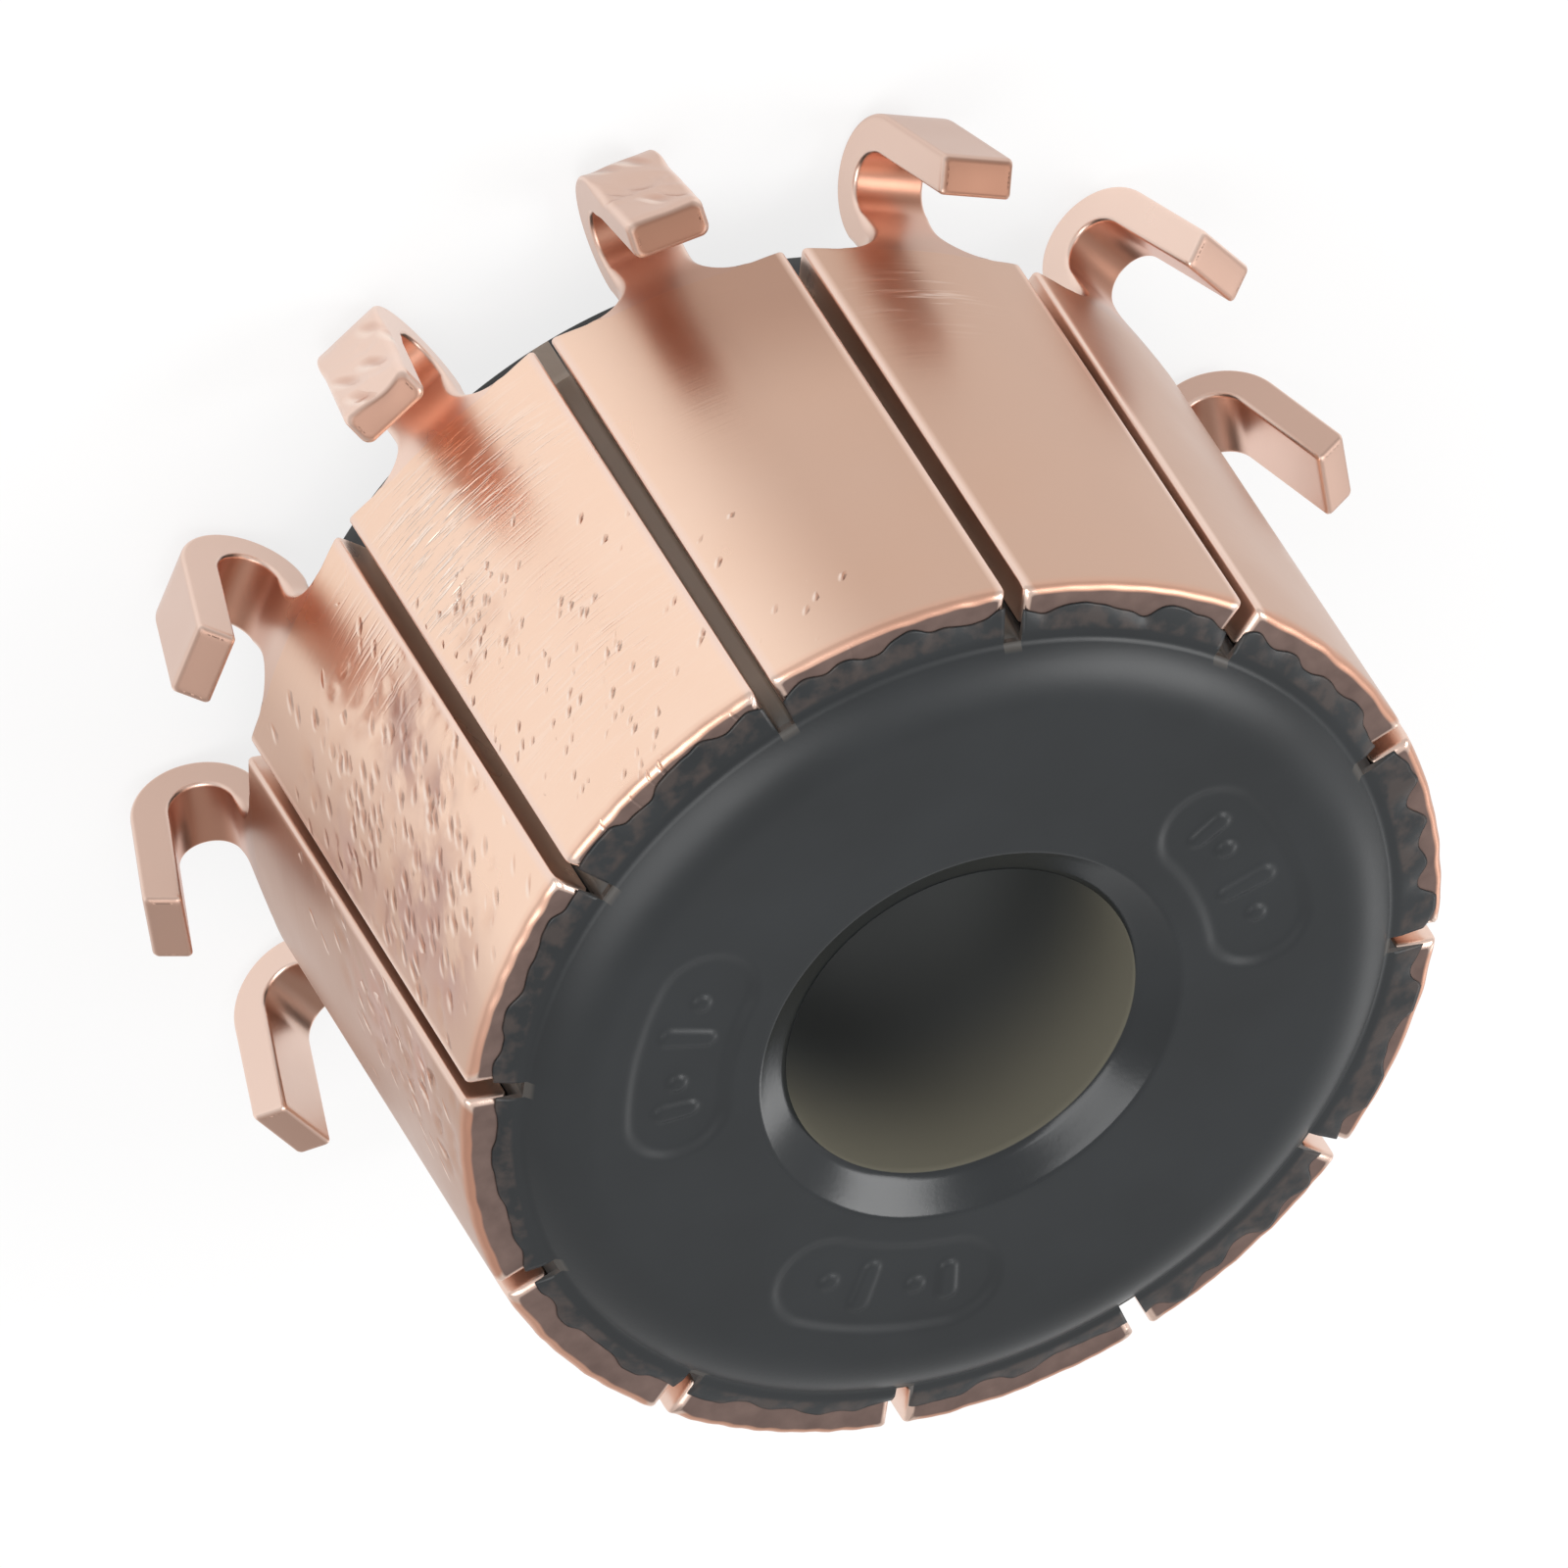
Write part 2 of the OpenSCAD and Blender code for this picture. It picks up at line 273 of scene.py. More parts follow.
def hook_stretch(neck, leg_length, lean, edge_round):
    """Half sections of the hook from the bar's rear end to the tip: x, y, z, place along the strip, depth
    and turn. A filleted root with rolled edges narrows to the neck, the bend thickens towards the leg, and
    the tip is sheared at a slant."""
    fillet = np.linspace(0, np.pi / 2, 12)
    drop = np.concatenate([ROOT_DROP - HOOK_ROOT_R * np.cos(fillet), np.linspace(ROOT_DROP, neck, 6)[1:]])
    neck_half = np.full(len(drop), HOOK_HALF)
    neck_half[:len(fillet)] += HOOK_ROOT_R * (1 - np.sin(fillet))
    share = (drop + HOOK_RELIEF) / (neck + HOOK_RELIEF)
    settle = smooth(share)
    rolled = HOOK_EDGE_ROUND * (0.3 + 0.7 * settle) + ROOT_ROLL * 4 * share * (1 - share)
    neck_x = TRACK_R + settle * (HOOK_FACE_R - TRACK_R)

    # The bend's outer arc lies off the centre of its inner arc
    shift = (HOOK_LEG_T - HOOK_NECK_T) / (1 + np.cos(lean))
    outer_r = HOOK_BEND_R + HOOK_NECK_T + shift
    bend_end = np.pi - lean
    bend = bend_end * steps(34)
    bend_t = np.sqrt(outer_r ** 2 - (shift * np.sin(bend)) ** 2) - shift * np.cos(bend) - HOOK_BEND_R
    bend_x = HOOK_FACE_R + HOOK_BEND_R * (1 - np.cos(bend))
    bend_z = REAR_Z - neck - HOOK_BEND_R * np.sin(bend)

    tip_round = HOOK_TIP_ROUND + (edge_round - HOOK_EDGE_ROUND) / 2
    tip_inset, tip_setback = end_rounding(5, tip_round)
    leg = np.concatenate([(leg_length - tip_round) * steps(32)[:-1], leg_length - tip_setback[::-1]])
    leg_x = bend_x[-1] + leg * np.sin(bend_end)
    leg_z = bend_z[-1] - leg * np.cos(bend_end)

    leg_corner = HOOK_EDGE_ROUND + (edge_round - HOOK_EDGE_ROUND) * smooth(leg / HAMMERED_EASE)
    after_neck = np.zeros(len(bend) + len(leg))
    columns = {
        "x": np.concatenate([neck_x, bend_x, leg_x]),
        "z": np.concatenate([REAR_Z - drop, bend_z, leg_z]),
        "turn": np.concatenate([np.zeros(len(drop)), bend, np.full(len(leg), bend_end)]),
        "half": np.concatenate([neck_half, HOOK_HALF + after_neck]),
        "thick": np.concatenate([neck_x - HOOK_FACE_R + HOOK_NECK_T, bend_t, np.full(len(leg), bend_t[-1])]),
        "corner": np.concatenate([rolled, HOOK_EDGE_ROUND + np.zeros(len(bend)), leg_corner]),
        "bow": np.concatenate([1 - settle, after_neck]),
        "inset": np.concatenate([np.zeros(len(drop)), after_neck]),
    }
    columns["inset"][-len(tip_inset):] = tip_inset[::-1]
    x, y, z, depth = strip_sections(**{name: values[:, None] for name, values in columns.items()})
    strip_r = HOOK_BEND_R + HOOK_LEG_T / 2
    along = np.concatenate([drop, neck + bend * strip_r, neck + bend_end * strip_r + leg])[:, None]
    leg_share = np.concatenate([np.zeros(len(drop) + len(bend)), leg / leg_length])[:, None]
    slant = HOOK_RAKE * smooth(leg_share) * (0.5 - depth)
    x = x + slant * np.sin(bend_end)
    z = z - slant * np.cos(bend_end)
    return x, y, z, along + np.zeros_like(x), depth, columns["turn"][:, None]


def mirrored(half, sign=1):
    """Whole loops from half loops, with the second half the mirror image of the first."""
    return np.concatenate([half, sign * half[:, -2:0:-1]], axis=1)


def loft_faces(stations, loop):
    """Quads between neighbouring loops, and a ladder of quads across the first and the last loop."""
    first = np.arange(stations - 1)[:, None] * loop
    point = np.arange(loop)
    after = (point + 1) % loop
    quads = [first + point, first + loop + point, first + loop + after, first + after]
    walls = np.stack(quads, axis=-1).reshape(-1, 4)
    rung = np.arange(loop // 4)
    right = loop // 4 + np.stack([-1 - rung, -rung, 1 + rung, 2 + rung], axis=-1)
    left = (loop - right[:, ::-1]) % loop
    cap = np.concatenate([right, left])
    return np.concatenate([walls, cap, cap[:, ::-1] + (stations - 1) * loop])


def add_piece(name, points, faces, floats, vectors=None):
    """A smooth mesh object from points in millimetres, with a value at each point for every attribute."""
    mesh = bpy.data.meshes.new(name)
    mesh.from_pydata(np.asarray(points).reshape(-1, 3) * MM, [], faces.tolist())
    mesh.polygons.foreach_set("use_smooth", np.ones(len(mesh.polygons), bool))
    for label, values in floats.items():
        layer = mesh.attributes.new(label, "FLOAT", "POINT")
        layer.data.foreach_set("value", np.asarray(values, np.float32).ravel())
    for label, values in (vectors or {}).items():
        layer = mesh.attributes.new(label, "FLOAT_VECTOR", "POINT")
        layer.data.foreach_set("vector", np.asarray(values, np.float32).ravel())
    mesh.update()
    piece = bpy.data.objects.new(name, mesh)
    bpy.context.scene.collection.objects.link(piece)
    return piece


def linear(hex_colour):
    """Linear colour, with alpha, of an sRGB hex value."""
    srgb = np.array([int(hex_colour[i:i + 2], 16) for i in (1, 3, 5)]) / 255
    value = np.where(srgb <= 0.04045, srgb / 12.92, ((srgb + 0.055) / 1.055) ** 2.4)
    return (*value, 1.0)


def node(tree, kind, inputs=None, **settings):
    """Adds one shader node, sets its properties, and gives each input a value or a link."""
    made = tree.nodes.new("ShaderNode" + kind)
    for name, value in settings.items():
        setattr(made, name, value)
    for name, value in (inputs or {}).items():
        if isinstance(value, bpy.types.NodeSocket):
            tree.links.new(value, made.inputs[name])
        else:
            made.inputs[name].default_value = value
    return made


# Marks in the copper. Lines, clouds and spots are counted to the millimetre, and a stroke or a streak has
# its width and length in millimetres.
LINES_PER_MM = 9.0
FEED_PER_MM = 0.3
SCRATCHES_PER_MM = 0.7
SCRATCH_SLANT = 0.07
CLOUDS_PER_MM = 0.35
END_SPOTS_PER_MM = 1.8
STROKE_W = 0.24
STROKE_LEN = 0.62
STROKE_HIGHLIGHT_SHIFT = 0.09
STREAK_W = 0.5
STREAK_LEN = 1.5


def turned_copper():
    """Hard copper, turned with a fine feed: pale bright metal with hair lines round the track, fine pits, a
    brown tone that is partly tarnish and mostly painted shade, a red painted reflection on the hooks' inner
    faces, painted shade in the hollows and a painted highlight on the strokes' lips, grey smudges, and dull
    brown ends where the tool broke through."""
    material = bpy.data.materials.new("turned copper")
    material.use_nodes = True
    tree = material.node_tree
    shader = tree.nodes["Principled BSDF"]
    place = node(tree, "TexCoord").outputs["Object"]
    mm = node(tree, "VectorMath", {0: place, 3: 1 / MM}, operation="SCALE").outputs[0]
    unrolled = node(tree, "Attribute", attribute_name="unrolled").outputs["Vector"]
    labels = ("track", "end", "pitted", "shade_and_tone", "smudged", "dent_shade", "sheared", "scored", "inner")
    track, end, pitted, shade_and_tone, smudged, dent_shade, sheared, scored, inner = [
        node(tree, "Attribute", attribute_name=label).outputs["Fac"] for label in labels]

    # Feed lines of the turning tool, about 0.1 mm apart, and slanted scratches where a bar is scored
    feed_at = node(tree, "Mapping", {0: unrolled, "Scale": (FEED_PER_MM, LINES_PER_MM, 1.0)}).outputs[0]
    feed = node(tree, "TexNoise", {0: feed_at, "Scale": 1.0, "Detail": 3.0}).outputs[0]
    scratch_at = node(tree, "Mapping", {
        0: unrolled, "Rotation": (0, 0, SCRATCH_SLANT), "Scale": (SCRATCHES_PER_MM, LINES_PER_MM, 1.0),
    }).outputs[0]
    scratch = node(tree, "TexNoise", {0: scratch_at, "Scale": 1.0, "Detail": 1.0}).outputs[0]
    scratch = node(tree, "MapRange", {0: scratch, 1: 0.52, 2: 0.68}).outputs[0]
    scratch = node(tree, "Math", {0: scratch, 1: scored}, operation="MULTIPLY").outputs[0]
    cloud = node(tree, "TexNoise", {
        0: mm, "Scale": CLOUDS_PER_MM, "Detail": 3.0, "Roughness": 0.5,
    }).outputs[0]

    # Short slanted strokes, struck by chance where the bar is pitted. The same pattern, moved sideways by
    # less than a stroke's width, paints a highlight along one side of each stroke, a lit lip.
    strokes = []
    for moved in (0.0, STROKE_HIGHLIGHT_SHIFT):
        cells_at = node(tree, "Mapping", {
            0: unrolled, "Location": (moved, 0, 0), "Rotation": (0, 0, DENT_LEAN),
            "Scale": (STROKE_W, STROKE_LEN, 1.0),
        }, vector_type="TEXTURE").outputs[0]
        cells = node(tree, "TexVoronoi", {0: cells_at, "Scale": 1.0})
        chance = node(tree, "SeparateColor", {0: cells.outputs["Color"]}).outputs[0]
        struck = node(tree, "Math", {0: chance, 1: pitted}, operation="LESS_THAN").outputs[0]
        away = cells.outputs["Distance"]
        stroke = node(tree, "MapRange", {0: away, 1: 0.1, 2: 0.5, 3: 1.0, 4: 0.0}).outputs[0]
        strokes.append(node(tree, "Math", {0: stroke, 1: struck}, operation="MULTIPLY").outputs[0])
    pits, moved_pits = strokes
    lip_highlight = node(tree, "Math", {0: moved_pits, 1: pits}, operation="SUBTRACT", use_clamp=True).outputs[0]

    # Colours: warm copper, paler off the track, then browner (tone and painted shade), redder (a painted
    # reflection on the hooks' inner faces, and the rim's own red), stained, darker in the hollows (painted
    # shade), pale in fresh scratches and on the strokes' lips (a painted highlight), and dull
    warm = node(tree, "Mix", {0: cloud, 6: linear("#F6D2BA"), 7: linear("#FFE0CB")},
                data_type="RGBA").outputs[2]
    warm = node(tree, "Mix", {0: track, 6: linear("#F6DACB"), 7: warm}, data_type="RGBA").outputs[2]
    # Browner by the tone, which on the track is painted shade
    shaded_and_toned = node(tree, "Mix", {0: shade_and_tone, 6: warm, 7: linear("#9E7663")}, data_type="RGBA").outputs[2]
    # Redder on the hooks' inner faces, a painted reflection of copper facing copper, and at the rim
    redder = node(tree, "Math", {0: inner, 1: 0.6}, operation="MULTIPLY").outputs[0]
    shaded_and_toned = node(tree, "Mix", {0: redder, 6: shaded_and_toned, 7: linear("#EE9C7C")}, data_type="RGBA").outputs[2]
    streak_at = node(tree, "Mapping", {
        0: unrolled, "Rotation": (0, 0, DENT_LEAN), "Scale": (STREAK_W, STREAK_LEN, 1.0),
    }, vector_type="TEXTURE").outputs[0]
    blotch = node(tree, "TexNoise", {0: streak_at, "Scale": 1.0, "Detail": 4.0}).outputs[0]
    blotch = node(tree, "MapRange", {0: blotch, 1: 0.38, 2: 0.52}).outputs[0]
    blotch = node(tree, "Math", {0: blotch, 1: smudged}, operation="MULTIPLY").outputs[0]
    stained = node(tree, "Mix", {0: blotch, 6: shaded_and_toned, 7: linear("#C6A295")}, data_type="RGBA").outputs[2]
    # Darker in the hollows of the dents and strokes: painted shade
    hollow_shade = node(tree, "Math", {0: dent_shade, 1: 0.2}, operation="MULTIPLY").outputs[0]
    hollow_shade = node(tree, "Math", {0: pits, 1: 0.55, 2: hollow_shade}, operation="MULTIPLY_ADD").outputs[0]
    stained = node(tree, "Mix", {0: hollow_shade, 6: stained, 7: linear("#B97F64")}, data_type="RGBA").outputs[2]
    # Pale in scratches, and on the strokes' lips as a painted highlight
    scratch_and_highlight = node(tree, "Math", {0: scratch, 1: lip_highlight}, operation="MAXIMUM").outputs[0]
    scratch_and_highlight = node(tree, "Math", {0: scratch_and_highlight, 1: 0.85}, operation="MULTIPLY").outputs[0]
    stained = node(tree, "Mix", {0: scratch_and_highlight, 6: stained, 7: linear("#FFEEE2")}, data_type="RGBA").outputs[2]
    spots = node(tree, "TexNoise", {0: mm, "Scale": END_SPOTS_PER_MM, "Detail": 3.0}).outputs[0]
    dull = node(tree, "Mix", {0: spots, 6: linear("#6B5A55"), 7: linear("#957F77")},
                data_type="RGBA").outputs[2]
    colour = node(tree, "Mix", {0: end, 6: stained, 7: dull}, data_type="RGBA").outputs[2]
    tree.links.new(colour, shader.inputs["Base Color"])

    rough = node(tree, "MapRange", {0: cloud, 1: 0.3, 2: 0.7, 3: 0.26, 4: 0.34}).outputs[0]
    rough = node(tree, "Math", {0: end, 1: 0.25, 2: rough}, operation="MULTIPLY_ADD").outputs[0]
    rough = node(tree, "Math", {0: shade_and_tone, 1: 0.06, 2: rough}, operation="MULTIPLY_ADD").outputs[0]
    rough = node(tree, "Math", {0: sheared, 1: 0.2, 2: rough}, operation="MULTIPLY_ADD").outputs[0]
    rough = node(tree, "Math", {0: inner, 1: 0.12, 2: rough}, operation="MULTIPLY_ADD").outputs[0]
    tree.links.new(rough, shader.inputs["Roughness"])
    shader.inputs["Metallic"].default_value = 1.0

    lines = node(tree, "Math", {0: feed, 1: track}, operation="MULTIPLY").outputs[0]
    relief = node(tree, "Bump", {"Strength": 0.3, "Distance": 0.01 * MM, "Height": lines}).outputs[0]
    for strength, depth, marks in ((0.8, 0.02, scratch), (1.0, 0.04, pits)):
        relief = node(tree, "Bump", {
            "Strength": strength, "Distance": depth * MM, "Height": marks, "Normal": relief,
        }, invert=True).outputs[0]
    tree.links.new(relief, shader.inputs["Normal"])
    return material


# Wear of single bars, in millimetres across the bar and along from the rim. A patch of dents, pits or scores
# is its middle, its half size and its share. A smudge is its middle and its radius.
DENTS = {
    1: [((-1.2, 3.8), (1.5, 3.2), 0.5)],
    11: [((1.45, 7.1), (0.7, 1.0), 0.9)],
    12: [((0.2, 5.5), (2.7, 4.2), 0.85)],
}
PITS = {
    3: [((0.8, 5.0), (2.0, 3.0), 0.12)],
    5: [((-0.6, 3.0), (2.0, 2.5), 0.1)],
    10: [((1.6, 1.8), (1.2, 2.0), 0.12)],
    11: [((0.0, 2.8), (2.8, 3.6), 0.2)],
}
PIT_FINENESS = {3: 1.5, 5: 1.5, 10: 1.7, 11: 1.7}
# Hooks whose legs were hammered, with the patches of dents in them, along from the bar's rear end
LEG_DENTS = {10: [((0.0, 5.4), (0.85, 1.5), 0.7)], 11: [((0.0, 5.4), (0.85, 1.5), 0.8)]}
LEG_PITS = 0.4
LEG_FINENESS = 0.55
SMUDGES = {
    1: [(-1.5, 5.0, 1.2), (-1.8, 2.6, 0.9)],
    12: [(-1.8, 7.4, 0.8), (-1.1, 6.3, 0.7), (-1.5, 4.9, 0.6), (2.0, 6.9, 1.1), (0.2, 3.7, 1.0),
         (1.4, 4.0, 1.2), (1.2, 1.8, 1.0)],
}
SCORES = {
    2: [((0.5, 7.0), (2.0, 2.5), 0.5)],
    4: [((-0.4, 9.0), (2.0, 2.0), 0.6)],
    6: [((0.6, 4.0), (2.0, 2.0), 0.5)],
    9: [((0.8, 10.3), (1.0, 0.9), 0.7)],
    11: [((0.4, 10.2), (2.4, 1.6), 1.0), ((1.6, 8.0), (0.9, 1.6), 0.8), ((0.0, 4.0), (2.8, 3.0), 0.3)],
    12: [((-2.0, 9.0), (0.8, 2.0), 0.7)],
}
# Tones run from 0, bare copper, to 1, brown. On the track the brown is painted shade: bare on its bright
# side, painted darker round from it, towards one bar's rear and on single bars. A hook's tone is partly its
# own tarnish and partly painted shade and light. A bar or a hook that isn't named has the common tone.
BRIGHT_SIDE_ANGLE = np.radians(304.5)
BRIGHT_SIDE_HALF = np.radians(18)
SIDE_SHADE = 0.56
REAR_SHADE = {10: 0.25}
REAR_SHADE_FROM = 7
REAR_SHADE_RUN = 4
# Painted shade that darkens single bars all over
BAR_SHADE = {1: 0.2, 8: 0.04}
RIM_TONE = 0.35
RIM_BAND = 0.3
# Painted shade under the hook, on the inner face of its neck and bend
BEND_SHADE = 0.95
# Hook tones: partly each hook's own tarnish, partly painted shade and light on it
COMMON_HOOK_SHADE_AND_TONE = 0.35
HOOK_SHADE_AND_TONE = {1: 0.45, 2: 0.05, 7: 0.6, 8: 0.0, 9: 0.2, 10: 0.4, 11: 0.1, 12: 0.3}
TOP_SHADE = {9: 0.3}
COMMON_TIP_TONE = 0.7
TIP_TONE = {2: 0.7, 7: 0.5, 8: 0.6, 9: 1.0, 10: 1.0, 11: 0.85, 12: 0.75}
TIP_BAND = 0.06
# Lighter edges; along the hook's edges this is a painted highlight
EDGE_LIGHTENING = 0.8
# Share of the painted red reflection on each hook's inner face
INNER_SHARE = {2: 0.1, 7: 0.5}
# Turns of the bend, in radians, where the leg's finish and its dents begin and the bend's painted shade ends
LEG_FROM = 1.6
DENTED_FROM = 2.0
BEND_SHADE_TO = 2.4
TURN_EASE = 0.8
# The turned rim is drawn in by this much at its edge, over this length
RIM_DRAW = 0.025
RIM_DRAW_LEN = 0.35
# Changes of single hooks, in millimetres and degrees
NECK_CHANGE = {7: 0.08, 8: 0.12, 9: 0.13, 10: 0.12, 11: 0.05}
LEG_CHANGE = {1: 0.05, 2: 0.1, 7: -0.05, 8: -0.05, 9: 0.12, 10: 0.07, 11: 0.05, 12: 0.05}
LEAN_CHANGE = {8: 1.5, 9: 1.5, 12: -1.0}


def side_shade(angle):
    """Painted shade on the track at an angle: none over the bright side, and an S-shaped rise past both its
    ends.
    """
    off = np.abs((angle - BRIGHT_SIDE_ANGLE + np.pi) % (2 * np.pi) - np.pi)
    return SIDE_SHADE * smooth((off - BRIGHT_SIDE_HALF) / BRIGHT_SIDE_HALF)


def whole_bar(number):
    """Whole loops of one bar with its hook, as section by point: x, y, z, place along from the rim, depth in
    the strip and turn of the bend. Also gives the number of sections on the track."""
    neck = HOOK_NECK + NECK_CHANGE.get(number, 0.0)
    leg_length = HOOK_LEG + LEG_CHANGE.get(number, 0.0)
    lean = HOOK_LEAN + np.radians(LEAN_CHANGE.get(number, 0.0))
    edge_round = HAMMERED_ROUND if number in LEG_DENTS else HOOK_EDGE_ROUND
    hook = hook_stretch(neck, leg_length, lean, edge_round)
    hook_x, hook_y, hook_z, hook_along, hook_depth, hook_turn = hook
    front = bar_stretch()
    rear = rear_end(front[0][-1], front[1][-1], hook_x[0], hook_y[0])
    bar_x, bar_y, bar_z = [np.concatenate(pair) for pair in zip(front, rear)]
    x = mirrored(np.concatenate([bar_x, hook_x]))
    y = mirrored(np.concatenate([bar_y, hook_y]), -1)
    z = mirrored(np.concatenate([bar_z, hook_z]))
    along = mirrored(np.concatenate([RIM_Z - bar_z, BAR_LEN + hook_along]))
    depth = mirrored(np.concatenate([np.zeros_like(bar_x), hook_depth]))
    turn = np.concatenate([np.zeros((len(bar_x), 1)), hook_turn])
    return x, y, z, along, depth, turn, len(front[0])


def patches_at(across, along, patches):
    """Strength of worn patches: the sum of Gaussian spots, each with its share as its height."""
    strength = np.zeros_like(across)
    for middle, half, share in patches:
        off_across = (across - middle[0]) / half[0]
        off_along = (along - middle[1]) / half[1]
        strength = strength + share * np.exp(-off_across ** 2 - off_along ** 2)
    return strength


def copper_shade_and_tone(number, y, along, depth, turn, from_middle, tip):
    """Brown tone at each point of one bar, mostly painted shade, and how red its rim and the inner face of
    its hook are; the red on the inner face is a painted reflection. The track's painted shade passes into
    the hook's tone behind the bar, and both are lighter at the edges, which is a painted highlight along the
    hook's edges."""
    edge = smooth((from_middle - TRACK_STEPS + 2) / 2)
    rim = smooth(1 - along / RIM_BAND)
    # Painted shade on the track, darker round from its bright side
    bar_shade_and_tone = side_shade((number - 1) * PITCH + y / TRACK_R) + BAR_SHADE.get(number, 0.0)
    # Painted shade of the hook over the rear of one side of a bar
    rear = smooth((along - REAR_SHADE_FROM) / REAR_SHADE_RUN) * smooth((0.2 - y) / 0.8)
    bar_shade_and_tone = bar_shade_and_tone + REAR_SHADE.get(number, 0.0) * rear
    bar_shade_and_tone = bar_shade_and_tone * (1 - EDGE_LIGHTENING * edge)
    bar_shade_and_tone = np.maximum(bar_shade_and_tone, RIM_TONE * rim * (0.6 + 0.5 * ripple(y, 1.2, number + 40)))

    # Both long edges of the strip lie half way along the steps of their round corners
    fade_steps = 6
    edge_at = FACE_STEPS + OUTER_STEPS / 2
    from_inner = y.shape[1] / 2 - from_middle
    # Painted highlight along both long edges of the hook, where its tone fades
    hook_edge_highlight = smooth(1 - np.abs(from_middle - edge_at) / fade_steps)
    hook_edge_highlight = hook_edge_highlight + smooth(1 - np.abs(from_inner - edge_at) / fade_steps)
    # Each hook's tone, partly tarnish and partly painted shade and light
    hook_shade_and_tone = HOOK_SHADE_AND_TONE.get(number, COMMON_HOOK_SHADE_AND_TONE) * (1 - EDGE_LIGHTENING * hook_edge_highlight)
    # Painted shade on the top face of one hook's leg
    hook_shade_and_tone = hook_shade_and_tone + TOP_SHADE.get(number, 0.0) * smooth((depth - 0.85) / 0.1)
    hook_shade_and_tone = hook_shade_and_tone + tip * (TIP_TONE.get(number, COMMON_TIP_TONE) - hook_shade_and_tone)
    # Painted shade on the inner face of the neck and bend, which faces the bar
    face = smooth((FACE_STEPS + fade_steps - from_middle) / fade_steps) * (1 - tip)
    bend_shade = BEND_SHADE * smooth((BEND_SHADE_TO - turn) / TURN_EASE) * (0.5 + 0.5 * smooth(turn / 0.6))
    hook_shade_and_tone = hook_shade_and_tone + face * (bend_shade - hook_shade_and_tone)

    into_hook = smooth((along - BAR_LEN) / 0.8)
    shade_and_tone = bar_shade_and_tone + (hook_shade_and_tone - bar_shade_and_tone) * into_hook
    leg = smooth((turn - LEG_FROM) / TURN_EASE)
    # Redder inner face of the hook, a painted reflection of the copper it faces
    inner = INNER_SHARE.get(number, 1.0) * into_hook * face * (0.25 + 0.35 * leg)
    inner = np.maximum(inner, 0.5 * rim * (1 - edge))
    return shade_and_tone, inner


def worn_bar(number):
    """Points of one bar with its hook, as section by point, and the finish at each point.
    Dents press the track and the leg in, and the turned rim is drawn in unevenly."""
    x, y, z, along, depth, turn, track_rows = whole_bar(number)
    row = np.arange(len(x))[:, None]
    loop = x.shape[1]
    from_middle = np.minimum(np.arange(loop), loop - np.arange(loop))
    track = smooth((TRACK_STEPS - from_middle) / 2) * (row < track_rows)

    pressed = np.zeros_like(x)
    for i, patch in enumerate(DENTS.get(number, [])):
        pressed = pressed + dimples(y, along, patch, DENT_SIZE, 10 * number + i)
    rim = smooth(1 - along / RIM_DRAW_LEN) * (from_middle < TRACK_STEPS + CORNER_STEPS)
    drawn_in = track * pressed + RIM_DRAW * rim * (1 + ripple(y, 0.9, number))
    x = x * (1 - drawn_in / TRACK_R)
    y = y * (1 - drawn_in / TRACK_R)

    outer_leg = smooth((depth - 0.55) / 0.45) * smooth((turn - DENTED_FROM) / TURN_EASE)
    knocked = np.zeros_like(x)
    for i, patch in enumerate(LEG_DENTS.get(number, [])):
        dents = dimples(y, along - BAR_LEN, patch, LEG_DENT_SIZE, 10 * number + i + 5)
        knocked = knocked + LEG_DENT_GAIN * outer_leg * dents
    x = x + knocked * np.cos(turn)
    z = z + knocked * np.sin(turn)

    tip = smooth((along - along.max() + TIP_BAND) / 0.05)
    pitted = track * patches_at(y, along, DENTS.get(number, []) + PITS.get(number, []))
    if number in LEG_DENTS:
        pitted = pitted + LEG_PITS * outer_leg * (1 - tip)
    scored = patches_at(y, along, SCORES.get(number, []))
    smudged = np.zeros_like(x)
    for across_mid, along_mid, size in SMUDGES.get(number, []):
        smudged = smudged + np.exp(-((y - across_mid) ** 2 + (along - along_mid) ** 2) / size ** 2)
    shade_and_tone, inner = copper_shade_and_tone(number, y, along, depth, turn, from_middle, tip)
    finish = {
        "track": track,
        "end": (row == 0) + np.zeros_like(x),
        "pitted": pitted,
        "shade_and_tone": shade_and_tone,
        "smudged": np.clip(smudged, 0, 1) * track,
        "dent_shade": np.clip(pressed / DENT_DEPTH, 0, 1) * track,
        "sheared": tip + np.zeros_like(x),
        "scored": np.clip(scored, 0, 1) * track,
        "inner": inner,
    }

    # The marks lie on the unrolled bar, each bar has its own part of the pattern, and strokes are finer or
    # coarser from bar to bar
    pattern_shift = 7.3
    fineness = PIT_FINENESS.get(number, 1.0)
    fineness = fineness + (LEG_FINENESS - fineness) * smooth((turn - LEG_FROM) / TURN_EASE)
    unrolled = np.stack([fineness * y, fineness * along, np.full_like(x, pattern_shift * number)], axis=-1)
    angle = (number - 1) * PITCH
    turned_x = x * np.cos(angle) - y * np.sin(angle)
    turned_y = x * np.sin(angle) + y * np.cos(angle)
    return np.stack([turned_x, turned_y, z], axis=-1), finish, unrolled


copper = turned_copper()
for number in range(1, BARS + 1):
    points, finish, unrolled = worn_bar(number)
    faces = loft_faces(*points.shape[:2])
    bar = add_piece(f"copper_bar_{number:02d}", points, faces, finish, {"unrolled": unrolled})
    bar.data.materials.append(copper)
    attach(bar, "root")
    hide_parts(f"bar_{number:02d}")


# Phenolic moulding
# One black phenolic moulding, pressed round the bars in a hot mould and then reamed to size in the bore.
# It fills the space inside the bars, holds them by their ribs, and leaves ragged flash on their ends.

